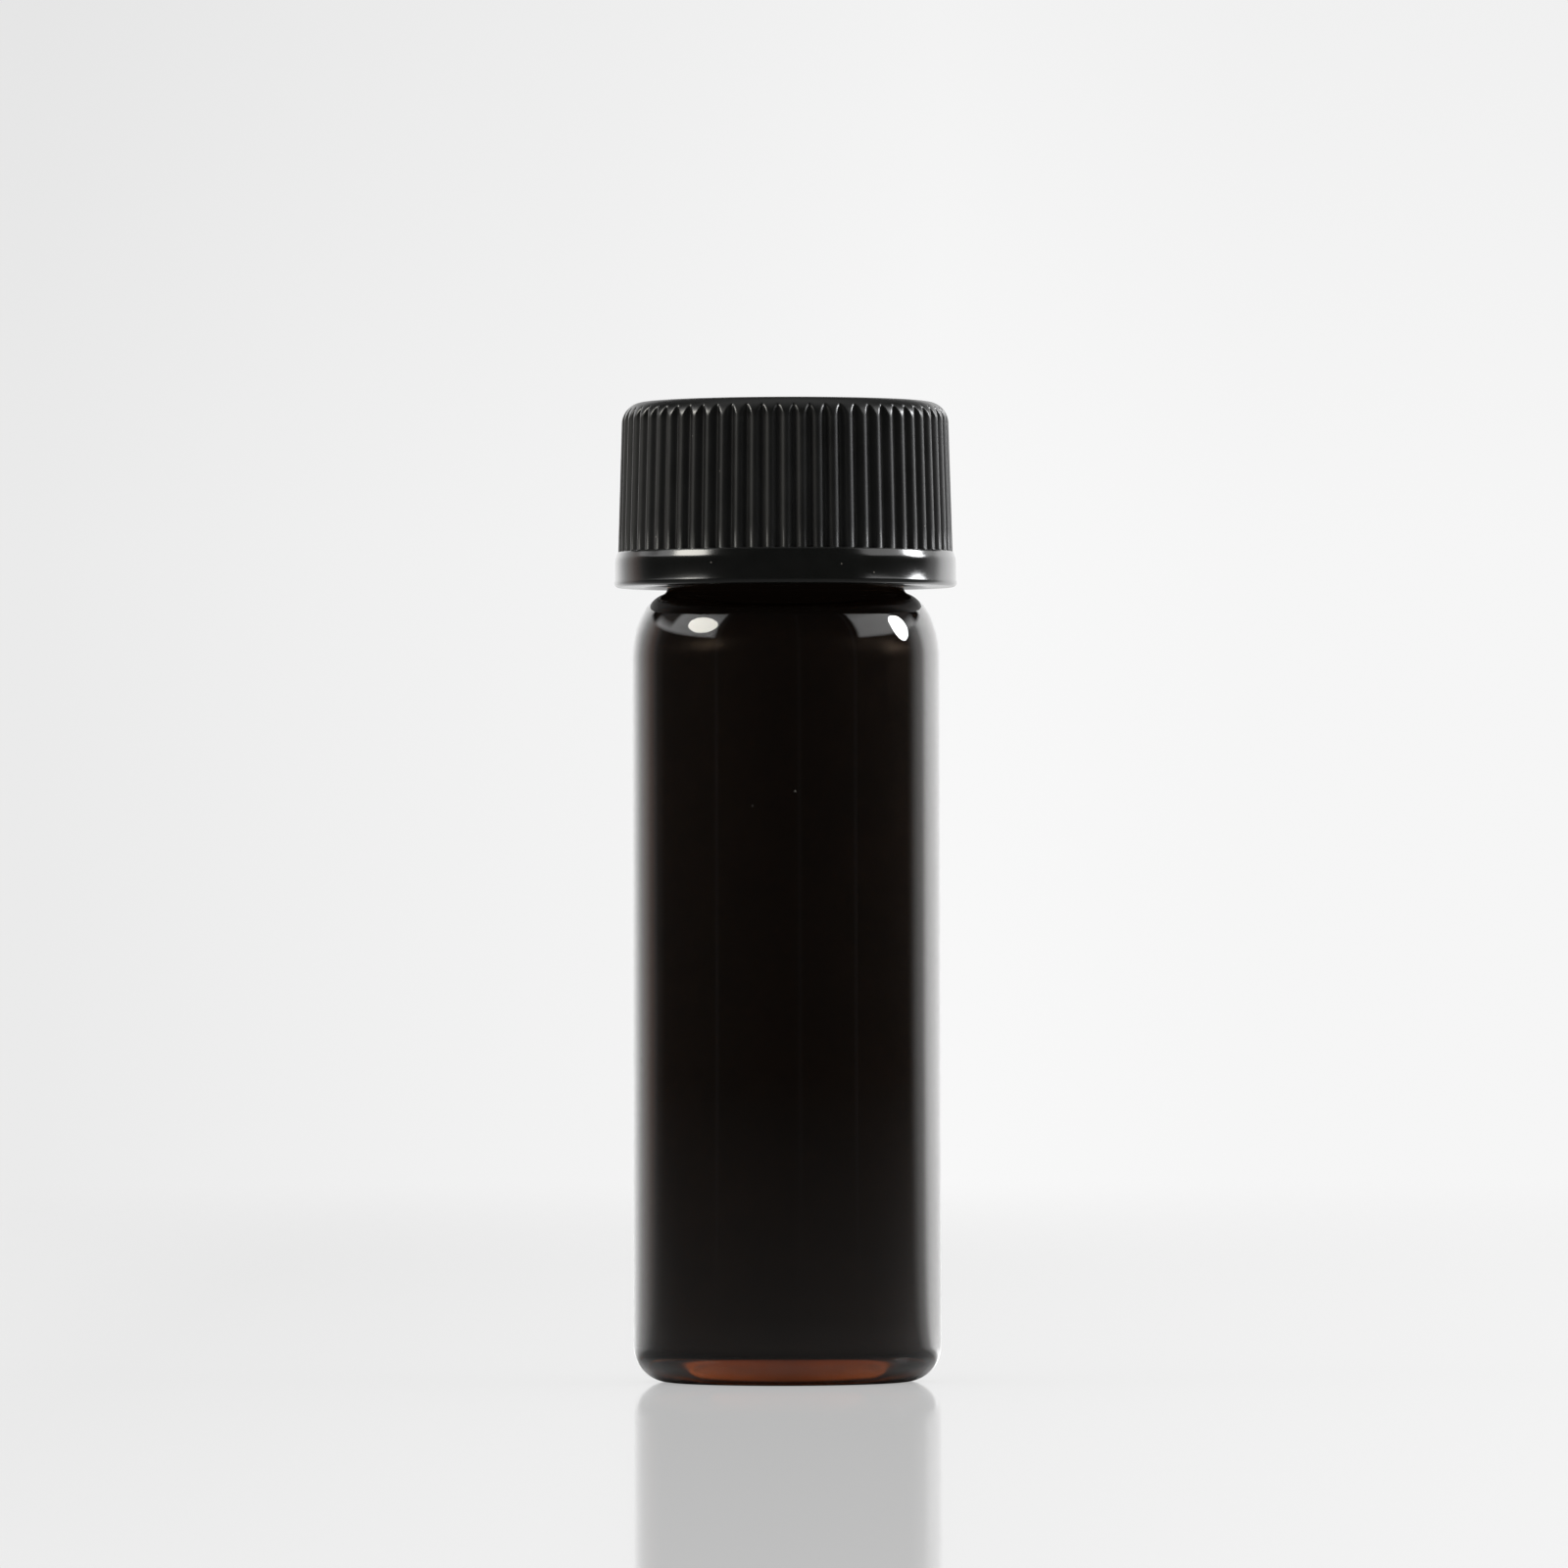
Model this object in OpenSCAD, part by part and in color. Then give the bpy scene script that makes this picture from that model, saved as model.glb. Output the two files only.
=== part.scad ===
// Tubular glass sample vial with a ribbed screw cap and a sealing liner.
// Millimetres. Z runs up the axis of the vial and z = 0 is the surface it stands on.

/* [Glass body] */
// Outer diameter of the glass body
body_d = 14.8; // [12.2:0.05:18]
// Height of the glass from the standing ring to the rim
vial_h = 45; // [35:0.5:70]
// Thickness of the tube wall
wall = 1.0; // [0.7:0.05:1.4]
// Thickness of the glass across the floor
floor_t = 1.4; // [0.8:0.1:2.4]
// Radius of the rounded heel
heel_r = 1.7; // [1.2:0.1:2.2]
// Rise of the dished middle of the base
push_up = 0.5; // [0.2:0.1:1.2]
// Width of the flat ring that the vial stands on
standing_ring = 0.9; // [0.5:0.1:1.5]
// Height of the shoulder from the straight tube up to the neck
shoulder_h = 3.45; // [2.5:0.05:4.5]
// Thickness of the glass at the top of the shoulder
shoulder_t = 1.1; // [0.8:0.1:1.6]
// Slope of the shoulder where it runs into the neck, in degrees
shoulder_slope = 18; // [0:1:30]

/* [Neck] */
// Diameter of the neck between the threads
neck_d = 11.4; // [9.5:0.1:13.7]
// Thickness of the neck wall
neck_wall = 1.6; // [1.2:0.1:2]
// Radius of the melted edges of the rim
rim_r = 0.35; // [0.2:0.05:0.5]
// Radius of the fillet where the shoulder meets the neck
neck_fillet = 0.3; // [0.1:0.05:0.5]
// Radius inside, where the shoulder opens into the neck
throat_r = 0.5; // [0.3:0.05:0.7]

/* [Thread] */
// Rise of the thread in one turn
pitch = 2.12; // [1.9:0.01:2.6]
// Turns of thread on the glass
glass_turns = 2; // [1.5:0.25:2.25]
// Height of the glass thread above the neck
thread_depth = 0.75; // [0.6:0.05:0.95]
// Width of the glass thread where it leaves the neck
thread_root_w = 1.24; // [0.9:0.02:1.4]
// Width of the glass thread at its crest
thread_crest_w = 0.5; // [0.3:0.02:0.6]
// Distance from the rim down to the middle of the topmost thread
rim_run = 1; // [0.8:0.1:1.5]
// Distance from the cap's mouth up to the middle of its first thread
mouth_run = 1.7; // [1.4:0.1:2.2]
// Distance from the liner down to the last thread of the cap
liner_run = 0.75; // [0.5:0.05:1.2]

/* [Cap] */
// Height of the cap
cap_h = 8.9; // [8.3:0.1:11]
// Thickness of the cap's top
cap_top_t = 1.1; // [0.7:0.1:1.4]
// Wall of the skirt from the bottom of the grip grooves in to the bore, at the band
skirt_t = 1.18; // [0.9:0.02:1.6]
// Height of the plain band round the mouth
band_h = 1.7; // [1:0.1:2.5]
// How far the band stands out past the ribs
band_step = 0.15; // [0.05:0.01:0.3]
// Radius of the band's upper edge
band_edge_r = 0.65; // [0.35:0.05:0.8]
// Radius of the band's lower edge
foot_edge_r = 0.2; // [0.05:0.05:0.25]
// Radius of the cap's top corner
corner_r = 1.02; // [0.6:0.02:1.2]
// Inward lean of the cap's side, in degrees
draft = 1.7; // [0:0.1:2]
// Chamfer of the cap's mouth
mouth_chamfer = 0.2; // [0.1:0.05:0.3]

/* [Grip ribs] */
// Ribs round the cap
rib_count = 64; // [40:1:72]
// Depth of the grooves between the ribs
rib_depth = 0.24; // [0.15:0.01:0.3]
// Radius of each rib's round crest
rib_round = 0.29; // [0.15:0.01:0.35]
// Radius along the bottom of each groove
groove_round = 0.08; // [0.04:0.01:0.12]
// Angle of the first groove from the X axis with the cap screwed down, in degrees
rib_turn = 3.1; // [0:0.1:9]

/* [Liner] */
// Thickness of the sealing liner
liner_t = 1.0; // [0.6:0.1:1.5]

/* [Clearances] */
// Radial gap between the crest of the glass thread and the cap
thread_gap = 0.17; // [0.1:0.01:0.3]
// Radial gap between the crest of the cap's thread and the neck
crest_gap = 0.25; // [0.15:0.01:0.4]
// Gap between the flanks of the two threads, along the axis
flank_gap = 0.3; // [0.15:0.01:0.35]
// Radial gap between the liner and the cap
liner_gap = 0.08; // [0.04:0.01:0.1]
// Gap between the cap's mouth and the foot of the neck
foot_gap = 0.05; // [0.05:0.05:1]

/* [Hidden] */
$fn = 96;

ARC_STEPS = 10; // segments of a rounded corner
CREST_STEPS = 3; // segments from a rib's crest to its flank
GROOVE_STEPS = 2; // segments from a rib's flank to the middle of the groove
CREST_LAND = 7; // degrees of each rib's round left whole beside the middle of its crest
ROUNDS_MAX = 0.49; // largest share of the ribs' spacing that their rounds may take up
GROOVE_SINK = 0.03; // how far the foot of a groove lies under the band's upper edge
GROOVE_PAST = 0.1; // how far a groove's cutter stands out past the crests
RIDGE_STEPS = 36; // segments of thread in one turn
RUN_OUT = 50; // degrees over which a thread fades into its wall
SUNK = 0.05; // depth at which a faded thread ends under its wall
EMBED = 0.2; // depth to which a thread is rooted in its wall
FLANK_END = 0.85; // share of a thread's height at which its flank ends
CREST_FLAT = 0.6; // share of a thread's crest that is flat
INNER_HEEL_MIN = 0.3; // smallest radius inside the heel

body_r = body_d / 2;
inner_r = body_r - wall;
neck_r = neck_d / 2;
bore_r = neck_r - neck_wall;
thread_r = neck_r + thread_depth;

cap_bore_r = thread_r + thread_gap; // also the recess that holds the liner
rib_r = (cap_bore_r + skirt_t + rib_depth) / cos(180 / rib_count); // just above the band
band_r = rib_r + band_step;
rib_top_r = rib_r - (cap_h - band_h - corner_r) * tan(draft);

// The band's rounded upper edge runs from the foot of the ribs down to its straight side.
edge_turn = acos(1 - band_step / band_edge_r);
edge_z = band_h - band_edge_r * sin(edge_turn);
foot_r = band_r + edge_z * tan(draft);

// A round crest, a straight flank and a round groove make up half of a rib. Rounds too large
// for the ribs' spacing are made smaller, and the flank's slope follows from the depth.
rib_half = rib_r * sin(180 / rib_count);
rounds = min(rib_round + groove_round, ROUNDS_MAX * (rib_depth + rib_half * rib_half / rib_depth));
crest_r = rounds * rib_round / (rib_round + groove_round);
flank_turn = 2 * atan(
    (rib_half - sqrt(rib_half * rib_half - (2 * rounds - rib_depth) * rib_depth))
    / (2 * rounds - rib_depth)
);

cap_z = vial_h + liner_t + cap_top_t - cap_h; // the cap's mouth, screwed down
foot_z = cap_z - foot_gap; // foot of the neck
shoulder_z = foot_z - shoulder_h; // top of the straight tube

thread_top_z = vial_h - rim_run;
thread_low_z = thread_top_z - glass_turns * pitch;

// Half the width of the glass thread at radius r, and of the cap's thread in the space it leaves.
function glass_half(r) =
    (thread_root_w + (thread_crest_w - thread_root_w) * (r - neck_r) / thread_depth) / 2;
function cap_half(r) = pitch / 2 - glass_half(r) - flank_gap;

// Points along a round or elliptical corner, from angle a0 to angle a1.
function corner(centre, rx, ry, a0, a1, steps = ARC_STEPS) = [
    for (i = [0:steps])
        let (a = a0 + (a1 - a0) * i / steps)
            centre + [rx * cos(a), ry * sin(a)]
];

// A shallow dish, from the axis out to the standing ring or back.
function dish(r, low, out) = [
    for (i = [0:ARC_STEPS])
        let (t = out ? i / ARC_STEPS : 1 - i / ARC_STEPS)
            [r * t, low + push_up * (1 - t * t)]
];

// A thread's section at one place: w0 and w1 are the half widths at the wall and at the crest.
// grow runs from 0, sunk in the wall, to 1, full height. side is 1 outwards and -1 inwards.
function ridge_section(wall_r, depth, w0, w1, grow, side) =
    let (
        low = -SUNK + (depth + SUNK) * grow,
        root = wall_r - side * EMBED,
        heel = wall_r - side * SUNK,
        flank = heel + side * (low + SUNK) * FLANK_END,
        crest = wall_r + side * low
    )
    [
        [root, -w0], [heel, -w0], [flank, -w1], [crest, -w1 * CREST_FLAT],
        [crest, w1 * CREST_FLAT], [flank, w1], [heel, w0], [root, w0]
    ];

// A helical ridge on a round wall, climbing anticlockwise from z at the given angle.
module ridge(wall_r, depth, w0, w1, z, angle, turns, side) {
    steps = ceil(turns * RIDGE_STEPS);
    sweep = turns * 360;
    rings = [
        for (i = [0:steps])
            let (a = sweep * i / steps)
            let (grow = min(1, a / RUN_OUT, (sweep - a) / RUN_OUT))
            let (smooth = grow * grow * (3 - 2 * grow))
                [for (q = ridge_section(wall_r, depth, w0, w1, smooth, side))
                    [q[0] * cos(angle + a), q[0] * sin(angle + a), z + pitch * a / 360 + q[1]]]
    ];
    n = len(rings[0]);
    sides = [
        for (i = [0:steps - 1], j = [0:n - 1])
            let (k = (j + 1) % n, p = i * n, q = p + n)
                each [[p + j, q + j, q + k], [p + j, q + k, p + k]]
    ];
    ends = [[for (j = [0:n - 1]) j], [for (j = [n - 1:-1:0]) steps * n + j]];
    faces = concat(sides, ends);
    polyhedron(
        points = [for (ring = rings) each ring],
        faces = side < 0 ? faces : [for (f = faces) [for (j = [len(f) - 1:-1:0]) f[j]]]
    );
}

// The glass, drawn as half of its section and turned.
module glass() {
    standing_r = body_r - heel_r; // outside of the standing ring
    inner_heel_r = max(INNER_HEEL_MIN, heel_r - wall);
    dish_r = standing_r - standing_ring;
    // The shoulder is part of an ellipse that meets the neck's fillet at its slope.
    meet_r = neck_r + neck_fillet * (1 - sin(shoulder_slope));
    rise = shoulder_h - neck_fillet * cos(shoulder_slope);
    share = (body_r - meet_r) / rise * tan(shoulder_slope);
    meet_turn = acos(share / (1 - share));
    shoulder_rx = (body_r - meet_r) / (1 - cos(meet_turn));
    shoulder_rz = rise / sin(meet_turn);
    inner_rise = rise - shoulder_t;
    outside = concat(
        dish(dish_r, 0, true),
        corner([standing_r, heel_r], heel_r, heel_r, -90, 0),
        corner([body_r - shoulder_rx, shoulder_z], shoulder_rx, shoulder_rz, 0, meet_turn),
        corner([neck_r + neck_fillet, foot_z], neck_fillet, neck_fillet,
            270 - shoulder_slope, 180),
        corner([neck_r - rim_r, vial_h - rim_r], rim_r, rim_r, 0, 90)
    );
    inside = concat(
        corner([bore_r + rim_r, vial_h - rim_r], rim_r, rim_r, 90, 180),
        corner([bore_r + throat_r, shoulder_z + inner_rise + throat_r],
            throat_r, throat_r, 180, 270),
        corner([bore_r + throat_r, shoulder_z], inner_r - bore_r - throat_r, inner_rise, 90, 0),
        corner([inner_r - inner_heel_r, floor_t + inner_heel_r],
            inner_heel_r, inner_heel_r, 0, -90),
        dish(dish_r, floor_t, false)
    );
    rotate_extrude() polygon(concat(outside, inside));
}

// The vial is one piece of amber glass, thread included.
module vial() color([0.28, 0.12, 0.04]) {
    glass();
    ridge(neck_r, thread_depth, thread_root_w / 2, thread_crest_w / 2,
        thread_low_z, 0, glass_turns, 1);
}

// The cap before its grooves are cut, standing on its mouth at z = 0.
module cap_blank() {
    rotate_extrude() polygon(concat(
        [[0, cap_h - cap_top_t], [cap_bore_r, cap_h - cap_top_t]],
        [[cap_bore_r, mouth_chamfer], [cap_bore_r + mouth_chamfer, 0]],
        corner([foot_r - foot_edge_r, foot_edge_r], foot_edge_r, foot_edge_r, -90, 0),
        corner([band_r - band_edge_r, edge_z], band_edge_r, band_edge_r, 0, edge_turn),
        corner([rib_top_r - corner_r, cap_h - corner_r], corner_r, corner_r, 0, 90),
        [[0, cap_h]]
    ));
}

// One groove between two ribs. It stands on the band, leans in with the side and runs out
// through the rounded top corner.
module groove() {
    low_r = rounds - crest_r;
    half = concat(
        [[GROOVE_PAST, rib_half - crest_r * sin(CREST_LAND)]],
        [for (i = [0:CREST_STEPS])
            let (a = CREST_LAND + (flank_turn - CREST_LAND) * i / CREST_STEPS)
                [crest_r * (cos(a) - 1), rib_half - crest_r * sin(a)]],
        [for (i = [0:GROOVE_STEPS - 1])
            let (a = flank_turn * (1 - i / GROOVE_STEPS))
                [low_r * (1 - cos(a)) - rib_depth, low_r * sin(a)]]
    );
    translate([rib_r * cos(180 / rib_count), 0, band_h - GROOVE_SINK]) rotate([0, -draft, 0])
        linear_extrude(cap_h) polygon(concat(
            half, [[-rib_depth, 0]],
            [for (i = [len(half) - 1:-1:0]) [half[i][0], -half[i][1]]]
        ));
}

// The cap is one moulding, with its grip ribs and its own thread.
module cap() color([0.09, 0.09, 0.09]) translate([0, 0, cap_z]) {
    start_z = cap_z + mouth_run; // height of the cap thread's first end on the closed vial
    thread_top_r = neck_r + crest_gap; // at the crest of the cap's thread
    turns = (vial_h - liner_run - cap_half(cap_bore_r) - start_z) / pitch;
    difference() {
        cap_blank();
        for (i = [0:rib_count - 1]) rotate([0, 0, rib_turn + i * 360 / rib_count]) groove();
    }
    // The cap's thread lies half a pitch under the glass one at every angle.
    ridge(cap_bore_r, cap_bore_r - thread_top_r, cap_half(cap_bore_r), cap_half(thread_top_r),
        mouth_run, (start_z - thread_low_z + pitch / 2) * 360 / pitch, turns, -1);
}

// The liner is a loose foam disc that the cap presses on the rim.
module liner() color([0.93, 0.93, 0.9]) translate([0, 0, vial_h])
    cylinder(h = liner_t, r = cap_bore_r - liner_gap);

vial();
cap();
liner();
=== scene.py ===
import math

import bmesh
import bpy
from mathutils import Matrix, Vector


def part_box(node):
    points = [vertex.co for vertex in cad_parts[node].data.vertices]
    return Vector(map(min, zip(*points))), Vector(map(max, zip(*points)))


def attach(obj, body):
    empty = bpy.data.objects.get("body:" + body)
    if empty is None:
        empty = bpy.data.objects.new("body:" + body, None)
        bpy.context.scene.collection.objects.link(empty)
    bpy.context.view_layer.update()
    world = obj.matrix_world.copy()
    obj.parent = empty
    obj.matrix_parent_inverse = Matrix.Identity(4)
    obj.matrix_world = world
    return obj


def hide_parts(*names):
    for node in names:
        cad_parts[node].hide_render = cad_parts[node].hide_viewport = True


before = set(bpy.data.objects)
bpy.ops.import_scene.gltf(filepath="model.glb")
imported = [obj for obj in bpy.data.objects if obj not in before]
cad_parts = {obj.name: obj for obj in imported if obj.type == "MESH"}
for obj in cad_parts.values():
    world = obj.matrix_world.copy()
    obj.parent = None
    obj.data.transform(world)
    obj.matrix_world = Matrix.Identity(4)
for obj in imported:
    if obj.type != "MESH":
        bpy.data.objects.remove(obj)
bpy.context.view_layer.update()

# A small amber glass sample vial with a ribbed screw cap and a sealing liner.
# Lengths are written in millimetres and turned to metres as they are used.
MM = 0.001
TURN = 2 * math.pi

# ---- Places taken from the frame ----
vial_low, vial_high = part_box("vial")
cap_low, cap_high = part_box("cap")
liner_low, liner_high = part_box("liner")

BODY_R = vial_high[0] / MM
RIM_Z = vial_high[2] / MM
FOOT_R = cap_high[0] / MM
MOUTH_Z = cap_low[2] / MM
CAP_TOP_Z = cap_high[2] / MM
LINER_R = liner_high[0] / MM
LINER_Z = liner_low[2] / MM
LINER_TOP_Z = liner_high[2] / MM

# ---- Glass ----
GLASS_COLUMNS = 224
GLASS_SHARP = 40  # degrees between faces from which an edge stays sharp
WALL = 1.0
HEEL_R = 1.7
HEEL_ROWS = 20
INNER_HEEL_R = 0.7
INNER_HEEL_ROWS = 12
FLOOR_Z = 1.4
PUSH_UP = 0.5
DISH_ROWS = 12
STANDING_RING = 0.9
WALL_ROWS = 24
INNER_WALL_ROWS = 12
SHOULDER_Z = 34.7
SHOULDER_ROWS = 24
INNER_SHOULDER_ROWS = 18
NECK_Z = 38.15
NECK_R = 5.7
NECK_WALL = 1.6
NECK_ROWS = 72
NECK_FILLET = 0.3
FILLET_ROWS = 6
SHOULDER_SLOPE = math.radians(18)  # slope of the shoulder where the neck's fillet starts
SHOULDER_T = 1.1
THROAT_R = 0.5
THROAT_ROWS = 8
THROAT_Z = 36.8  # above this the inside is narrower than the neck's outside
LIP_R = 0.35
LIP_ROWS = 8
INSIDE_MARGIN = 0.2  # how far under the inner floor a face may lie and still be inside
STANDING_R = BODY_R - HEEL_R
DISH_R = STANDING_R - STANDING_RING
INNER_R = BODY_R - WALL
NECK_BORE_R = NECK_R - NECK_WALL
LIP_Z = RIM_Z - LIP_R
FILLET_AT = (NECK_R + NECK_FILLET, NECK_Z)
SHOULDER_H = NECK_Z - NECK_FILLET * math.cos(SHOULDER_SLOPE) - SHOULDER_Z

# ---- Threads ----
PITCH = 2.12
GLASS_THREAD_Z = 39.76
GLASS_THREAD_TURNS = 2.0
GLASS_THREAD_DEPTH = 0.75
GLASS_THREAD_HALF = (0.62, 0.25)  # half widths at the neck and at the crest
CAP_THREAD_Z = 39.9
CAP_THREAD_TURNS = 1.77
CAP_THREAD_HALF = (0.594, 0.263)
CAP_THREAD_R = 5.95
RUN_OUT = math.radians(50)
CREST_SHARE = 0.6  # the share of the crest that is flat

# ---- Cap ----
CAP_SHARP = 50
RIBS = 64
RIB_COLUMNS = 14  # round one rib
BORE_R = 6.62
CAP_TOP_T = 1.1
BAND_H = 1.7
BAND_STEP = 0.15
BAND_SOFT = 0.64  # how far down the band's upper edge is softened
BAND_BEVEL = (0.1, 0.3)  # the part of it that is nearly a bevel
BAND_SLOPE = math.radians(18.5)
BAND_TURN = math.radians(24)  # how much steeper it gets above the bevel
BAND_ROWS = 20
BAND_R = 8.2
FOOT_Z = 38.44  # the foot stands a little further out below this
FOOT_RISE = 0.1
FOOT_CORNER = ((-0.004, 0.01), (0.0, -0.03))  # out from the foot's radius, up from its height
FOOT_EDGE_R = 0.2
FOOT_ROWS = 8
MOUTH_CHAMFER = 0.2
RIB_R = BAND_R - BAND_STEP
RIB_DEPTH = 0.24
RIB_ROUND = 0.29
GROOVE_ROUND = 0.08
RIB_TURN = math.radians(3.1)
GROOVE_END = 0.03  # softness of the grooves' ends on the top corner
CORNER_R = 1.02
DRAFT = math.radians(1.7)
BORE_ROWS = 44
TOP_ROWS = 5
CORNER_ROWS = 18
SIDE_ROWS = 6
LEDGE_RISE = 0.03  # height of the step between the band and the ribs' feet

# ---- Liner ----
LINER_EDGE_R = 0.12
LINER_EDGE_ROWS = 6
LINER_COLUMNS = 160
LINER_RING = 0.6  # place of the ring of points on its flat faces
LINER_SHARP = 60

POLE_R = 0.001  # closer than this is on the axis, or on a wall
SECTORS = 16  # of a full turn, made as copies of the first

# ---- Looks: patterns are by scale, dust by scale and size, bumps by depth and strength ----
DUST = (0.16, 0.15, 0.13, 1.0)
DUST_ROUGH = 0.9
DUST_CORE = 0.6  # the share of a speck that is full

GLASS_TINT = (0.68, 0.45, 0.18, 1.0)
GLASS_DENSITY = 500.0
GLASS_CLEAR = (1.0, 1.0, 1.0, 1.0)
GLASS_ROUGH = 0.012
GLASS_IOR = 1.5
DRAW_STRETCH = (1.0, 1.0, 0.06)  # the draw lines run along the tube
DRAW_SCALE = 260.0
DRAW_DETAIL = 2.0
DRAW_BUMP = (0.00002, 0.12)
GLASS_DUST = (420.0, 0.03)
GLASS_DUST_SHARE = 0.5

FILM_CLOUD = 220.0
FILM_DARKS = [(0.35, (0.006, 0.004, 0.003)), (0.7, (0.011, 0.007, 0.005))]
FILM_ROUGH = 0.25
FILM_IOR = 1.13
FILM_GRAZING = (0.56, 0.64)  # from here on the film mirrors
FILM_MIRROR_ROUGH = 0.12
# A faint painted glow on the dark inside, standing in for stray light in its shade.
FILM_PAINTED_GLOW_COLOUR = (1.0, 0.8, 0.7, 1.0)
FILM_PAINTED_GLOW = 0.0021

CAP_GRAIN = 9000.0
CAP_GRAIN_ROUGH = 0.6
CAP_BUMP = (0.000004, 0.35)
CAP_FLOW = 600.0
CAP_BLACKS = [(0.3, (0.0045, 0.0048, 0.0043)), (0.7, (0.0065, 0.0068, 0.0062))]
CAP_DUST = (900.0, 0.045)
CAP_IOR = 1.5
SATIN_SPAN = (0.3, 0.7)
SATIN = (0.43, 0.51)  # roughness of the ribs and the top
TOP_RISE = 0.3
TOP_SMOOTHER = 0.17  # how much less rough the top corner is
BAND_FALL = (0.45, 0.25)
BAND_ROUGH = (0.16, 0.15)
BAND_LINE = 0.02  # half the height over which the band turns to satin

FOAM_CELLS = 4200.0
FOAM_BUMP = (0.00002, 0.3)
FOAM_PATCHES = 900.0
FOAM_WHITES = [(0.3, (0.74, 0.74, 0.71)), (0.7, (0.82, 0.82, 0.79))]
FOAM_ROUGH = 0.62
FOAM_IOR = 1.5

# ---- Studio ----
CAMERA_AT = (-0.0001, -0.589, 0.0226)
CAMERA_PITCH = 0.597
CAMERA_ROLL = -0.15
CAMERA_CLIP = (0.05, 60.0)
SENSOR = 36.0
LENS = 281.0
# Distances on the floor are in metres from the vial's axis.
FLOOR_R = 1.3
FLOOR_SIDES = 64
FLOOR_TONE = 0.86
FLOOR_SHADOW_SPAN = (0.006, 0.0072)  # painted contact shadow: the floor under the vial is coloured dark
FLOOR_SHADOW_TONE = 0.04
FLOOR_SPAN = (-0.04, 0.04)
FLOOR_TONES = [(0.08, 0.83), (0.23, 0.9), (0.39, 0.98), (0.6, 1.0)]
FLOOR_LIFT = 0.8
FLOOR_FADE = (0.17, 0.45)  # beyond this the background shows through
FLOOR_IOR = 1.45
FLOOR_GLOSS = 0.62
FLOOR_ROUGH = 0.06
FLOOR_NEAR = (0.0075, 0.0105)  # from here on the glossy pieces see its painted mirrored tone
FLOOR_FAR = (0.05, 1.1)
# Painted brightness of the floor, a glow the glossy pieces mirror in place of the lit floor, by
# degrees from the back.
FLOOR_ROUND = (
    (-180, 0.2), (-120, 0.21), (-92, 0.22), (-72, 0.3), (-64, 0.45), (-60, 0.62), (-56, 0.76),
    (-52, 0.92), (-48, 1.0), (-40, 1.2), (-28, 1.5), (0, 0.9), (28, 1.6), (40, 2.2),
    (48, 2.3), (52, 1.9), (56, 1.25), (60, 1.0), (64, 0.85), (68, 0.58), (72, 0.4),
    (95, 0.32), (120, 0.25), (180, 0.2),
)
FILL = 1.0
# Each softbox: name, direction, width and height, radiance, colour.
SOFTBOXES = (
    ("left_softbox", (-0.818, -0.251, 0.51), (0.225, 0.14), 15.0, (1.0, 0.97, 0.88)),
    ("right_softbox", (0.888, 0.205, 0.39), (0.15, 0.18), 30.0, (0.97, 0.98, 1.0)),
)
SOFTBOX_AWAY = 0.5
SOFTBOX_AIM = (0, 0, 0.025)
BRIGHTEST = 2.7  # the ramps round the room hold shares of this
# Brightness round the room near the horizon, by degrees from its back (right is positive).
ROOM_ROUND = (
    (-180, 0.0), (-76, 0.02), (-72, 0.06), (-68, 0.08), (-64, 0.24), (-60, (0.42, 0.32, 0.29)),
    (-56, (0.56, 0.47, 0.44)), (-52, (0.78, 0.69, 0.66)), (-48, (0.93, 0.86, 0.82)),
    (-40, 1.16), (-36, 1.35), (-32, 1.54), (-28, 1.68), (-20, 1.67), (-12, 1.38), (-4, 1.02),
    (0, 0.91), (4, 1.02), (12, 1.38), (20, 1.67), (28, 2.02), (40, 2.48), (44, 2.58),
    (48, 2.53), (52, 2.08), (56, 1.18), (60, 0.93), (64, 0.78), (68, 0.48), (72, 0.15),
    (76, 0.02), (180, 0.0),
)
# What is left in the dark part of the room: narrow bright gaps, here and there.
FRONT_ROUND = (
    (-180, 0.02), (-128, 0.07), (-125.5, 0.02), (124.5, 0.07), (127, 0.02), (168.6, 0.05),
    (170.2, 0.02),
)
# Higher up the back is narrower and ends sooner, and panels stand beside it.
HIGH_BACK = (
    (-78, 0.0), (-73, 2.4), (-56, 2.4), (-48, 0.0), (-37, 0.0), (-35, 1.35), (-20, 1.6),
    (0, 0.9), (20, 1.67), (35, 2.3), (37, 0.0), (48, 0.0), (56, 2.4), (73, 2.4), (78, 0.0),
)
HIGH_FROM = (17.5, 20)
HIGH_BACK_TOP = (19, 26)
PANELS = (
    (-124, 0.0), (-121, 2.4), (-78, 2.4), (-73, 0.0), (73, 0.0), (78, 2.4), (119, 2.4),
    (122, 0.0),
)
PANELS_TOP = (38, 54)
LEFT_OVER = 0.06  # the share of both that stays above their tops
CEILING = (50, 70)
CEILING_TONE = 0.35
BACK_SPAN = (-0.065, 0.065)
BACK_TONES = [(0.03, 0.83), (0.2, 0.865), (0.38, 0.895), (0.6, 0.94), (0.8, 0.92)]
BACK_RISE = (0.03, 0.075)  # from here on upwards the background is a little darker
BACK_TOP = 0.95


def corner(centre, rx, rz, start, end, steps):
    """Points along a round or elliptical corner, with angles in degrees."""
    points = []
    for i in range(steps + 1):
        a = math.radians(start + (end - start) * i / steps)
        points.append((centre[0] + rx * math.cos(a), centre[1] + rz * math.sin(a)))
    return points


def line(start, end, steps):
    """Points inside a straight run, without its two ends."""
    points = []
    for i in range(1, steps):
        t = i / steps
        points.append(
            (start[0] + (end[0] - start[0]) * t, start[1] + (end[1] - start[1]) * t)
        )
    return points


def dish(radius, low):
    """Points of the pushed-up dish, from the axis out to the standing ring."""
    points = []
    for i in range(DISH_ROWS + 1):
        t = i / DISH_ROWS
        points.append((radius * t, low + PUSH_UP * (1 - t * t)))
    return points


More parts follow.
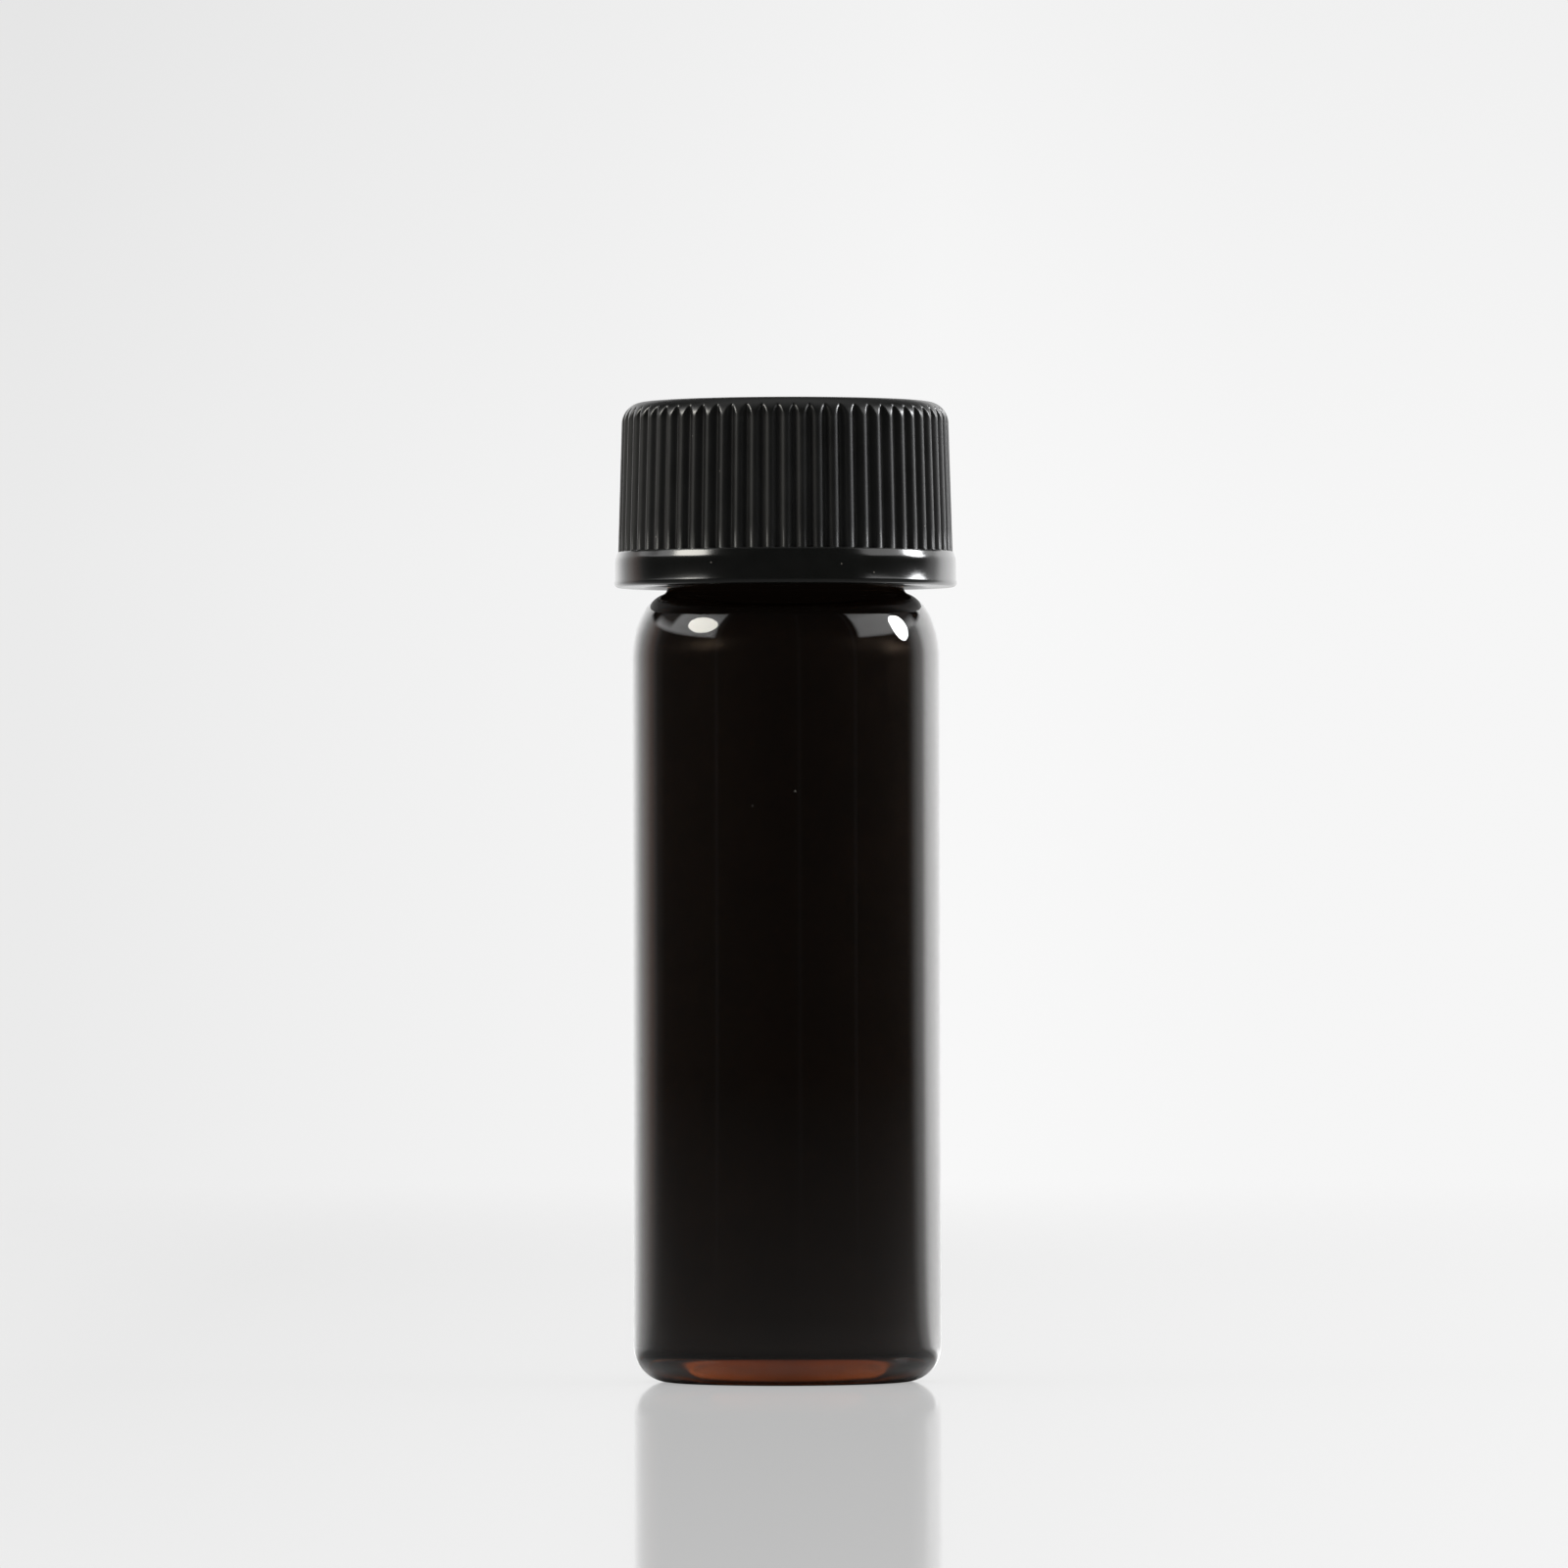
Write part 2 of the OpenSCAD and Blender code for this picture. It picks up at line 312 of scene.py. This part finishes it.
def smooth_step(t):
    """Eases from 0 to 1."""
    t = min(1.0, max(0.0, t))
    return t * t * (3 - 2 * t)


def outline(points):
    """A bmesh holding the (radius, height) points as one open chain."""
    bm = bmesh.new()
    verts = [bm.verts.new((r * MM, 0, z * MM)) for r, z in points]
    for pair in zip(verts, verts[1:]):
        bm.edges.new(pair)
    return bm


def spin(bm, columns):
    """Spins the chain a full turn about the axis: one sector first, then copies of it."""
    bmesh.ops.spin(
        bm,
        geom=bm.verts[:] + bm.edges[:],
        cent=(0, 0, 0),
        axis=(0, 0, 1),
        angle=TURN / SECTORS,
        steps=columns // SECTORS,
    )
    bmesh.ops.spin(
        bm,
        geom=bm.verts[:] + bm.edges[:] + bm.faces[:],
        cent=(0, 0, 0),
        axis=(0, 0, 1),
        angle=TURN * (SECTORS - 1) / SECTORS,
        steps=SECTORS - 1,
        use_duplicate=True,
    )
    bmesh.ops.remove_doubles(bm, verts=bm.verts, dist=POLE_R * MM)


def finish_mesh(bm, name, sharp):
    """Turns the faces outwards, puts them in a fixed order and makes the object."""
    bmesh.ops.recalc_face_normals(bm, faces=bm.faces)
    if bm.calc_volume(signed=True) < 0:
        bmesh.ops.reverse_faces(bm, faces=bm.faces)
    bm.verts.index_update()
    count = len(bm.verts)
    bm.faces.sort(key=lambda face: face.verts[0].index * count + face.verts[1].index)
    mesh = bpy.data.meshes.new(name)
    bm.to_mesh(mesh)
    bm.free()
    mesh.shade_smooth()
    mesh.set_sharp_from_angle(angle=math.radians(sharp))
    piece = bpy.data.objects.new(name, mesh)
    bpy.context.scene.collection.objects.link(piece)
    return piece


def ridge_height(angle, z, start_angle, start_z, turns, halves):
    """How high a helical ridge stands at that place, from 0 to 1.

    halves are the ridge's half widths at its wall and at its crest.
    """
    best = 0.0
    sweep = turns * TURN
    along = (angle - start_angle) % TURN
    while along <= sweep:
        off = abs(z - start_z - PITCH * along / TURN)
        side = smooth_step((halves[0] - off) / (halves[0] - halves[1] * CREST_SHARE))
        fade = smooth_step(min(along, sweep - along) / RUN_OUT)
        best = max(best, side * fade)
        along += TURN
    return best


# ---- The glass vial ----
def shoulder():
    """The shoulder's part of an ellipse, up to where the fillet of the neck takes over."""
    meet_r = FILLET_AT[0] - NECK_FILLET * math.sin(SHOULDER_SLOPE)
    share = (BODY_R - meet_r) / SHOULDER_H * math.tan(SHOULDER_SLOPE)
    turn = math.acos(share / (1 - share))
    rx = (BODY_R - meet_r) / (1 - math.cos(turn))
    rz = SHOULDER_H / math.sin(turn)
    centre = (BODY_R - rx, SHOULDER_Z)
    return corner(centre, rx, rz, 0, math.degrees(turn), SHOULDER_ROWS)


def vial_outside():
    """The glass from the dish under it up to the middle of its lip."""
    meet = 270 - math.degrees(SHOULDER_SLOPE)
    points = dish(DISH_R, 0.0)
    points += corner((STANDING_R, HEEL_R), HEEL_R, HEEL_R, -90, 0, HEEL_ROWS)
    points += line((BODY_R, HEEL_R), (BODY_R, SHOULDER_Z), WALL_ROWS)
    points += shoulder()
    points += corner(FILLET_AT, NECK_FILLET, NECK_FILLET, meet, 180, FILLET_ROWS)[1:]
    points += line((NECK_R, NECK_Z), (NECK_R, LIP_Z), NECK_ROWS)
    points += corner((NECK_R - LIP_R, LIP_Z), LIP_R, LIP_R, 0, 90, LIP_ROWS)
    return points


def vial_inside():
    """The glass from the middle of its lip down to the inner floor."""
    inner_rise = SHOULDER_H - SHOULDER_T
    inner_rx = INNER_R - NECK_BORE_R - THROAT_R
    throat_at = (NECK_BORE_R + THROAT_R, SHOULDER_Z + inner_rise + THROAT_R)
    shoulder_at = (throat_at[0], SHOULDER_Z)
    heel_at = (INNER_R - INNER_HEEL_R, FLOOR_Z + INNER_HEEL_R)
    points = corner((NECK_BORE_R + LIP_R, LIP_Z), LIP_R, LIP_R, 90, 180, LIP_ROWS)
    points += line((NECK_BORE_R, LIP_Z), (NECK_BORE_R, throat_at[1]), THROAT_ROWS)
    points += corner(throat_at, THROAT_R, THROAT_R, 180, 270, THROAT_ROWS)
    points += corner(shoulder_at, inner_rx, inner_rise, 90, 0, INNER_SHOULDER_ROWS)[1:]
    points += line((INNER_R, SHOULDER_Z), (INNER_R, heel_at[1]), INNER_WALL_ROWS)
    points += corner(heel_at, INNER_HEEL_R, INNER_HEEL_R, 0, -90, INNER_HEEL_ROWS)
    points += reversed(dish(DISH_R, FLOOR_Z))
    return points


def raise_glass_thread(bm):
    """Pushes the neck's wall out where the thread runs."""
    for v in bm.verts:
        r = v.co.xy.length / MM
        z = v.co.z / MM
        if abs(r - NECK_R) > POLE_R or not NECK_Z <= z <= LIP_Z + POLE_R:
            continue
        height = ridge_height(
            math.atan2(v.co.y, v.co.x) % TURN,
            z,
            0.0,
            GLASS_THREAD_Z,
            GLASS_THREAD_TURNS,
            GLASS_THREAD_HALF,
        )
        v.co.xy *= 1 + GLASS_THREAD_DEPTH * height / NECK_R


def is_inside_vial(face):
    """True for the inner faces, from the floor up to the lip."""
    centre = face.calc_center_median()
    r = centre.xy.length / MM
    z = centre.z / MM
    if z < FLOOR_Z - INSIDE_MARGIN or z > LIP_Z:
        return False
    if z > THROAT_Z:
        return r < NECK_R - NECK_WALL / 2
    return r < BODY_R - WALL / 2


def build_vial():
    bm = outline(vial_outside() + vial_inside())
    spin(bm, GLASS_COLUMNS)
    raise_glass_thread(bm)
    for face in bm.faces:
        face.material_index = 1 if is_inside_vial(face) else 0
    return finish_mesh(bm, "glass_vial", GLASS_SHARP)


# ---- The screw cap ----
def cap_profile():
    """The cap's outline over the crests of its ribs, as a closed shell."""
    band_z = MOUTH_Z + BAND_H
    corner_z = CAP_TOP_Z - CORNER_R
    rib_top = (side_radius(corner_z), corner_z)
    corner_at = (rib_top[0] - CORNER_R, corner_z)
    foot_at = (FOOT_R - FOOT_EDGE_R, MOUTH_Z + FOOT_EDGE_R)
    mouth = (BORE_R, MOUTH_Z + MOUTH_CHAMFER)
    roof = (BORE_R, CAP_TOP_Z - CAP_TOP_T)
    rib_foot = (RIB_R, band_z + LEDGE_RISE)

    middle = (0.0, CAP_TOP_Z)
    points = [middle] + line(middle, (corner_at[0], CAP_TOP_Z), TOP_ROWS)
    points += corner(corner_at, CORNER_R, CORNER_R, 90, 0, CORNER_ROWS)
    points += line(rib_top, rib_foot, SIDE_ROWS) + [rib_foot]
    points += band_edge(band_z)
    points += [(BAND_R, FOOT_Z + FOOT_RISE)]
    points += [(FOOT_R + out, FOOT_Z + up) for out, up in FOOT_CORNER]
    points += corner(foot_at, FOOT_EDGE_R, FOOT_EDGE_R, 0, -90, FOOT_ROWS)
    points += [(BORE_R + MOUTH_CHAMFER, MOUTH_Z), mouth]
    points += line(mouth, roof, BORE_ROWS)
    points += [roof, (BORE_R / 2, roof[1]), (0.0, roof[1])]
    return points


def band_edge(top):
    """The band's upper edge: nearly a bevel at the top, easing into the upright wall below."""
    points = []
    inward = 0.0
    step = BAND_SOFT / BAND_ROWS
    for i in range(BAND_ROWS + 1):
        down = BAND_SOFT - i * step
        points.append((BAND_R - inward, top - down))
        ease = min(1.0, (BAND_SOFT - down) / (BAND_SOFT - BAND_BEVEL[1]))
        round_off = max(0.0, 1 - down / BAND_BEVEL[0])
        slope = BAND_SLOPE * ease**2 + BAND_TURN * round_off
        inward = min(BAND_STEP, inward + step * math.tan(slope))
    points.reverse()
    return points


def side_radius(z):
    """Radius of the cap's leaning side over the crests of its ribs."""
    return RIB_R - (z - MOUTH_Z - BAND_H) * math.tan(DRAFT)


def flank_angle(half):
    """Slope of the ribs' flanks, where half is half of the ribs' spacing."""
    reach = 2 * (RIB_ROUND + GROOVE_ROUND) - RIB_DEPTH
    return 2 * math.atan((half - math.sqrt(half * half - reach * RIB_DEPTH)) / reach)


def groove_depth(angle):
    """How deep the side lies under the crests there: round crest, flank, round groove."""
    period = TURN / RIBS
    off = (angle - RIB_TURN + period / 2) % period - period / 2
    flat_r = RIB_R * math.cos(period / 2)
    half = RIB_R * math.sin(period / 2)
    flank = flank_angle(half)
    from_groove = abs(flat_r * math.tan(off))
    from_crest = half - from_groove
    crest_end = RIB_ROUND * math.sin(flank)
    if from_groove < GROOVE_ROUND * math.sin(flank):
        deep = RIB_DEPTH - GROOVE_ROUND + math.sqrt(GROOVE_ROUND**2 - from_groove**2)
    elif from_crest < crest_end:
        deep = RIB_ROUND - math.sqrt(RIB_ROUND**2 - from_crest**2)
    else:
        deep = RIB_ROUND * (1 - math.cos(flank)) + (from_crest - crest_end) * math.tan(flank)
    return RIB_R - (flat_r - deep) / math.cos(off)


def cut_grooves(bm):
    """Presses the grooves into the side, and raises the thread in the bore."""
    start_angle = (CAP_THREAD_Z - GLASS_THREAD_Z + PITCH / 2) / PITCH * TURN % TURN
    for v in bm.verts:
        r = v.co.xy.length / MM
        z = v.co.z / MM
        if r < POLE_R:
            continue
        angle = math.atan2(v.co.y, v.co.x) % TURN
        cut = 0.0
        if abs(r - BORE_R) < POLE_R:
            cut = (BORE_R - CAP_THREAD_R) * ridge_height(
                angle, z, start_angle, CAP_THREAD_Z, CAP_THREAD_TURNS, CAP_THREAD_HALF
            )
        elif r > BORE_R and z > MOUTH_Z + BAND_H + LEDGE_RISE / 2:
            gap = side_radius(z) - r  # how far the top corner falls inside the leaning side
            deep = groove_depth(angle) - gap
            soft = GROOVE_END * min(1.0, gap / RIB_DEPTH)
            cut = (deep + math.hypot(deep, soft)) / 2
        v.co.xy *= 1 - cut / r


def build_cap():
    bm = outline(cap_profile())
    spin(bm, RIBS * RIB_COLUMNS)
    bmesh.ops.rotate(bm, verts=bm.verts, matrix=Matrix.Rotation(RIB_TURN, 3, "Z"))
    cut_grooves(bm)
    return finish_mesh(bm, "screw_cap", CAP_SHARP)


# ---- The liner ----
def build_liner():
    edge = LINER_EDGE_R
    low_at = (LINER_R - edge, LINER_Z + edge)
    high_at = (LINER_R - edge, LINER_TOP_Z - edge)
    points = [(0.0, LINER_Z), (LINER_R * LINER_RING, LINER_Z)]
    points += corner(low_at, edge, edge, -90, 0, LINER_EDGE_ROWS)
    points += corner(high_at, edge, edge, 0, 90, LINER_EDGE_ROWS)
    points += [(LINER_R * LINER_RING, LINER_TOP_Z), (0.0, LINER_TOP_Z)]
    bm = outline(points)
    spin(bm, LINER_COLUMNS)
    return finish_mesh(bm, "sealing_liner", LINER_SHARP)


# ---- Node helpers ----
class Nodes:
    """A short way to add nodes to a material's or a world's tree and join them."""

    def __init__(self, owner):
        owner.use_nodes = True
        self.tree = owner.node_tree
        self.tree.nodes.clear()

    def add(self, kind, **settings):
        node = self.tree.nodes.new("ShaderNode" + kind)
        for key, value in settings.items():
            setattr(node, key, value)
        return node

    def put(self, socket, value):
        """Joins a socket or sets a plain value."""
        if isinstance(value, bpy.types.NodeSocket):
            self.tree.links.new(value, socket)
        else:
            socket.default_value = value

    def math(self, operation, *values):
        node = self.add("Math", operation=operation)
        for socket, value in zip(node.inputs, values):
            self.put(socket, value)
        return node.outputs[0]

    def vector(self, operation, *values):
        node = self.add("VectorMath", operation=operation)
        sockets = node.inputs
        if operation == "SCALE":
            sockets = [node.inputs[0], node.inputs["Scale"]]
        for socket, value in zip(sockets, values):
            self.put(socket, value)
        return node.outputs["Value" if operation == "LENGTH" else "Vector"]

    def split(self, vector):
        """The three parts of a vector."""
        node = self.add("SeparateXYZ")
        self.put(node.inputs[0], vector)
        return node.outputs

    def stretched(self, vector, scale):
        node = self.add("Mapping")
        self.put(node.inputs["Vector"], vector)
        node.inputs["Scale"].default_value = scale
        return node.outputs[0]

    def noise(self, vector, scale, detail=3.0, roughness=0.5):
        node = self.add("TexNoise")
        self.put(node.inputs["Vector"], vector)
        node.inputs["Scale"].default_value = scale
        node.inputs["Detail"].default_value = detail
        node.inputs["Roughness"].default_value = roughness
        return node.outputs["Fac"]

    def specks(self, vector, scale, radius):
        """1 inside small scattered specks. radius is a share of their spacing."""
        node = self.add("TexVoronoi")
        self.put(node.inputs["Vector"], vector)
        node.inputs["Scale"].default_value = scale
        return self.spread(node.outputs["Distance"], radius * DUST_CORE, radius, 1.0, 0.0)

    def ramp(self, value, stops, interpolation="LINEAR"):
        """A colour ramp with grey or coloured stops."""
        node = self.add("ValToRGB")
        node.color_ramp.interpolation = interpolation
        elements = node.color_ramp.elements
        while len(elements) > 1:
            elements.remove(elements[-1])
        for i, (place, colour) in enumerate(stops):
            element = elements[0] if i == 0 else elements.new(place)
            element.position = place
            if not isinstance(colour, tuple):
                colour = (colour,) * 3
            element.color = (*colour, 1.0)
        self.put(node.inputs["Fac"], value)
        return node.outputs["Color"]

    def spread(self, value, low, high, to_low=0.0, to_high=1.0, smooth=False):
        """Maps value from one range to another, and holds it there."""
        node = self.add("MapRange")
        if smooth:
            node.interpolation_type = "SMOOTHSTEP"
        for socket, number in zip(node.inputs, (value, low, high, to_low, to_high)):
            self.put(socket, number)
        return node.outputs[0]

    def mix(self, factor, first, second):
        """Mixes two colours."""
        node = self.add("Mix", data_type="RGBA")
        self.put(node.inputs["Factor"], factor)
        self.put(node.inputs[6], first)
        self.put(node.inputs[7], second)
        return node.outputs[2]

    def mixed(self, factor, first, second):
        """Mixes two shaders."""
        node = self.add("MixShader")
        for socket, value in zip(node.inputs, (factor, first, second)):
            self.put(socket, value)
        return node.outputs[0]

    def bump(self, height, distance, strength):
        node = self.add("Bump")
        node.inputs["Strength"].default_value = strength
        node.inputs["Distance"].default_value = distance
        self.put(node.inputs["Height"], height)
        return node.outputs[0]

    def principled(self, **values):
        """The principled shader, its sockets named in lower case."""
        node = self.add("BsdfPrincipled")
        for key, value in values.items():
            name = key.replace("_", " ").title().replace("Ior", "IOR")
            self.put(node.inputs[name], value)
        return node

    def output(self, surface, volume=None, kind="OutputMaterial"):
        """Ends the tree with its surface and its volume."""
        node = self.add(kind)
        self.put(node.inputs["Surface"], surface)
        if volume is not None:
            self.put(node.inputs["Volume"], volume)


def new_material(name):
    material = bpy.data.materials.new(name)
    return material, Nodes(material)


# ---- Materials ----
def amber_glass():
    """Dark amber tube glass with the faint draw lines of its making and a few specks of dust."""
    material, n = new_material("amber_glass")
    at = n.add("TexCoord").outputs["Object"]
    drawn = n.noise(n.stretched(at, DRAW_STRETCH), DRAW_SCALE, DRAW_DETAIL)
    glass = n.principled(
        base_color=GLASS_CLEAR,
        roughness=GLASS_ROUGH,
        ior=GLASS_IOR,
        transmission_weight=1.0,
        normal=n.bump(drawn, *DRAW_BUMP),
    )
    dust = n.principled(base_color=DUST, roughness=DUST_ROUGH)
    specks = n.math("MULTIPLY", n.specks(at, *GLASS_DUST), GLASS_DUST_SHARE)
    absorb = n.add("VolumeAbsorption")
    absorb.inputs["Color"].default_value = GLASS_TINT
    absorb.inputs["Density"].default_value = GLASS_DENSITY
    n.output(n.mixed(specks, glass.outputs[0], dust.outputs[0]), absorb.outputs[0])
    return material


def dark_film():
    """What makes the inside of the vial read nearly black through the glass.

    It takes up what falls on it steeply, mirrors what grazes it inside the glass and gives off a
    faint painted glow.
    """
    material, n = new_material("dark_inside")
    at = n.add("TexCoord").outputs["Object"]
    dark = n.ramp(n.noise(at, FILM_CLOUD), FILM_DARKS)
    shader = n.principled(base_color=dark, roughness=FILM_ROUGH, ior=FILM_IOR)
    # Painted light: the film glows faintly.
    shader.inputs["Emission Color"].default_value = FILM_PAINTED_GLOW_COLOUR
    shader.inputs["Emission Strength"].default_value = FILM_PAINTED_GLOW
    mirror = n.add("BsdfGlossy")
    mirror.inputs["Roughness"].default_value = FILM_MIRROR_ROUGH
    grazing = n.spread(n.add("LayerWeight").outputs["Facing"], *FILM_GRAZING)
    n.output(n.mixed(grazing, shader.outputs[0], mirror.outputs[0]))
    return material


def black_plastic():
    """Moulded black plastic: satin on the ribs and the top, glossy on the band, a little dust."""
    material, n = new_material("cap_black")
    at = n.add("TexCoord").outputs["Object"]
    height = n.split(at)[2]
    grain = n.noise(at, CAP_GRAIN, roughness=CAP_GRAIN_ROUGH)
    flow = n.noise(at, CAP_FLOW)
    colour = n.mix(n.specks(at, *CAP_DUST), n.ramp(flow, CAP_BLACKS), DUST)
    band_top = MOUTH_Z + BAND_H
    corner_z = CAP_TOP_Z - CORNER_R
    corner_span = (corner_z * MM, (corner_z + TOP_RISE) * MM)
    smoother = n.spread(height, *corner_span, 0.0, TOP_SMOOTHER)
    satin = n.math("SUBTRACT", n.spread(flow, *SATIN_SPAN, *SATIN), smoother)
    band_span = ((band_top - fall) * MM for fall in BAND_FALL)
    band = n.spread(height, *band_span, *BAND_ROUGH)
    ribs = n.spread(height, (band_top - BAND_LINE) * MM, (band_top + BAND_LINE) * MM)
    rough = n.add("Mix", data_type="FLOAT")
    n.put(rough.inputs["Factor"], ribs)
    n.put(rough.inputs[2], band)
    n.put(rough.inputs[3], satin)
    shader = n.principled(
        base_color=colour,
        roughness=rough.outputs[0],
        ior=CAP_IOR,
        normal=n.bump(grain, *CAP_BUMP),
    )
    n.output(shader.outputs[0])
    return material


def liner_foam():
    """White foamed plastic with fine cells."""
    material, n = new_material("liner_white")
    at = n.add("TexCoord").outputs["Object"]
    cells = n.add("TexVoronoi")
    n.put(cells.inputs["Vector"], at)
    cells.inputs["Scale"].default_value = FOAM_CELLS
    shader = n.principled(
        base_color=n.ramp(n.noise(at, FOAM_PATCHES), FOAM_WHITES),
        roughness=FOAM_ROUGH,
        ior=FOAM_IOR,
        normal=n.bump(cells.outputs["Distance"], *FOAM_BUMP),
    )
    n.output(shader.outputs[0])
    return material


def turn_of(n, across, along):
    """How far round the room a direction lies, from 0 to 1, with the back in the middle."""
    turn = n.math("ARCTAN2", across, along)
    return n.spread(turn, -math.pi, math.pi)


def room_stops(table):
    """A table of degrees and brightness as the stops of a ramp."""
    stops = []
    for degrees, tone in table:
        colour = tone if isinstance(tone, tuple) else (tone,) * 3
        stops.append(((degrees + 180) / 360, tuple(c / BRIGHTEST for c in colour)))
    return stops


def front_tone(n, turn):
    """What is left of light in the dark part of the room."""
    return n.ramp(turn, room_stops(FRONT_ROUND), "CONSTANT")


def painted_floor_glow(n, out, across, along):
    """A painted glow for the floor as the glossy pieces mirror it: far out as bright as the room
    behind it.
    """
    turn = turn_of(n, across, along)
    near = n.ramp(turn, room_stops(FLOOR_ROUND))
    far = n.vector("ADD", n.ramp(turn, room_stops(ROOM_ROUND)), front_tone(n, turn))
    log = n.math("LOGARITHM", out, 10.0)
    away = n.spread(log, *(math.log10(r) for r in FLOOR_FAR))
    painted_glow = n.add("Emission")
    n.put(painted_glow.inputs["Color"], n.mix(away, near, far))
    painted_glow.inputs["Strength"].default_value = BRIGHTEST
    return painted_glow.outputs[0]


def floor_white():
    """The plain pale floor: matt, with a mirror sheen at a low angle, a painted shadow under the
    vial and a painted glow that the glossy pieces mirror.
    """
    material, n = new_material("floor_white")
    at = n.add("TexCoord").outputs["Object"]
    across, along, _ = n.split(at)
    out = n.vector("LENGTH", at)
    path = n.add("LightPath")

    matt = n.add("BsdfDiffuse")
    # Painted shadow: the floor under the vial is coloured dark, standing in for the shade where
    # it stands.
    painted_shadow = n.spread(out, *FLOOR_SHADOW_SPAN)
    n.put(matt.inputs["Color"], n.ramp(painted_shadow, [(0.0, FLOOR_SHADOW_TONE), (1.0, FLOOR_TONE)]))
    lift = n.add("Emission")
    n.put(lift.inputs["Color"], n.ramp(n.spread(across, *FLOOR_SPAN), FLOOR_TONES))
    lifted = n.math("MULTIPLY", path.outputs["Is Camera Ray"], FLOOR_LIFT)
    pale = n.mixed(lifted, matt.outputs[0], lift.outputs[0])

    gloss = n.add("BsdfGlossy")
    gloss.inputs["Roughness"].default_value = FLOOR_ROUGH
    facing = n.add("Fresnel")
    facing.inputs["IOR"].default_value = FLOOR_IOR
    mirroring = n.math("MULTIPLY", facing.outputs[0], FLOOR_GLOSS)
    floor = n.mixed(mirroring, pale, gloss.outputs[0])

    share = n.math("MULTIPLY", n.spread(out, *FLOOR_NEAR), path.outputs["Is Glossy Ray"])
    floor = n.mixed(share, floor, painted_floor_glow(n, out, across, along))

    # Far out the camera sees the background through it.
    fade = n.spread(out, *FLOOR_FADE, smooth=True)
    fade = n.math("MULTIPLY", fade, path.outputs["Is Camera Ray"])
    n.output(n.mixed(fade, floor, n.add("BsdfTransparent").outputs[0]))
    return material


# ---- The studio ----
def build_floor():
    bm = bmesh.new()
    bmesh.ops.create_circle(bm, cap_ends=True, segments=FLOOR_SIDES, radius=FLOOR_R)
    mesh = bpy.data.meshes.new("floor")
    bm.to_mesh(mesh)
    bm.free()
    floor = bpy.data.objects.new("floor", mesh)
    bpy.context.scene.collection.objects.link(floor)
    mesh.materials.append(floor_white())


def room_tone(n, across, along, up):
    """The room by direction: its sides, what stands higher up, and the ceiling."""
    turn = turn_of(n, across, along)
    rise = n.math("ARCSINE", up)
    low = n.ramp(turn, room_stops(ROOM_ROUND))
    back_fade = n.spread(rise, *map(math.radians, HIGH_BACK_TOP), 1.0, LEFT_OVER)
    panel_fade = n.spread(rise, *map(math.radians, PANELS_TOP), 1.0, LEFT_OVER)
    high = n.vector(
        "ADD",
        n.vector("SCALE", n.ramp(turn, room_stops(HIGH_BACK)), back_fade),
        n.vector("SCALE", n.ramp(turn, room_stops(PANELS)), panel_fade),
    )
    room = n.mix(n.spread(rise, *map(math.radians, HIGH_FROM)), low, high)
    room = n.vector("ADD", room, front_tone(n, turn))
    top = n.spread(rise, *map(math.radians, CEILING), 0.0, CEILING_TONE / BRIGHTEST)
    return n.vector("ADD", room, top)


def build_world():
    """A studio whose back is white, with raised panels at the sides and a dark front."""
    world = bpy.data.worlds.new("studio")
    bpy.context.scene.world = world
    n = Nodes(world)
    across, along, up = n.split(n.add("TexCoord").outputs["Generated"])
    seen_room = n.add("Background")
    n.put(seen_room.inputs["Color"], room_tone(n, across, along, up))
    seen_room.inputs["Strength"].default_value = BRIGHTEST
    fill = n.add("Background")
    fill.inputs["Strength"].default_value = FILL
    back = n.add("Background")
    n.put(back.inputs["Strength"], n.spread(up, *BACK_RISE, 1.0, BACK_TOP))
    n.put(back.inputs["Color"], n.ramp(n.spread(across, *BACK_SPAN), BACK_TONES))
    path = n.add("LightPath")
    lit = n.mixed(path.outputs["Is Diffuse Ray"], seen_room.outputs[0], fill.outputs[0])
    final = n.mixed(path.outputs["Is Camera Ray"], lit, back.outputs[0])
    n.output(final, kind="OutputWorld")


def add_softbox(name, direction, size, radiance, colour):
    """A softbox facing the middle of the vial, of that radiance as seen from it."""
    data = bpy.data.lights.new(name, "AREA")
    data.shape = "ELLIPSE"
    data.size, data.size_y = size
    data.energy = radiance * math.pi * math.pi / 4 * size[0] * size[1]
    data.color = colour
    lamp = bpy.data.objects.new(name, data)
    towards = Vector(direction).normalized()
    lamp.location = Vector(SOFTBOX_AIM) + towards * SOFTBOX_AWAY
    lamp.rotation_euler = towards.to_track_quat("Z", "Y").to_euler()
    lamp.visible_diffuse = False
    bpy.context.scene.collection.objects.link(lamp)


def build_camera():
    data = bpy.data.cameras.new("camera")
    data.sensor_width = SENSOR
    data.lens = LENS
    data.clip_start, data.clip_end = CAMERA_CLIP
    camera = bpy.data.objects.new("camera", data)
    upright = Matrix.Rotation(math.pi / 2 + math.radians(CAMERA_PITCH), 4, "X")
    rolled = Matrix.Rotation(math.radians(CAMERA_ROLL), 4, "Z")
    camera.matrix_world = Matrix.Translation(CAMERA_AT) @ upright @ rolled
    bpy.context.scene.collection.objects.link(camera)
    bpy.context.scene.camera = camera


def main():
    scene = bpy.context.scene
    scene.view_settings.view_transform = "Standard"
    build_camera()
    build_world()
    build_floor()
    for softbox in SOFTBOXES:
        add_softbox(*softbox)

    vial = build_vial()
    vial.data.materials.append(amber_glass())
    vial.data.materials.append(dark_film())
    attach(vial, "vial")
    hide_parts("vial")

    cap = build_cap()
    cap.data.materials.append(black_plastic())
    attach(cap, "cap")
    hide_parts("cap")

    liner = build_liner()
    liner.data.materials.append(liner_foam())
    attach(liner, "liner")
    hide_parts("liner")


main()
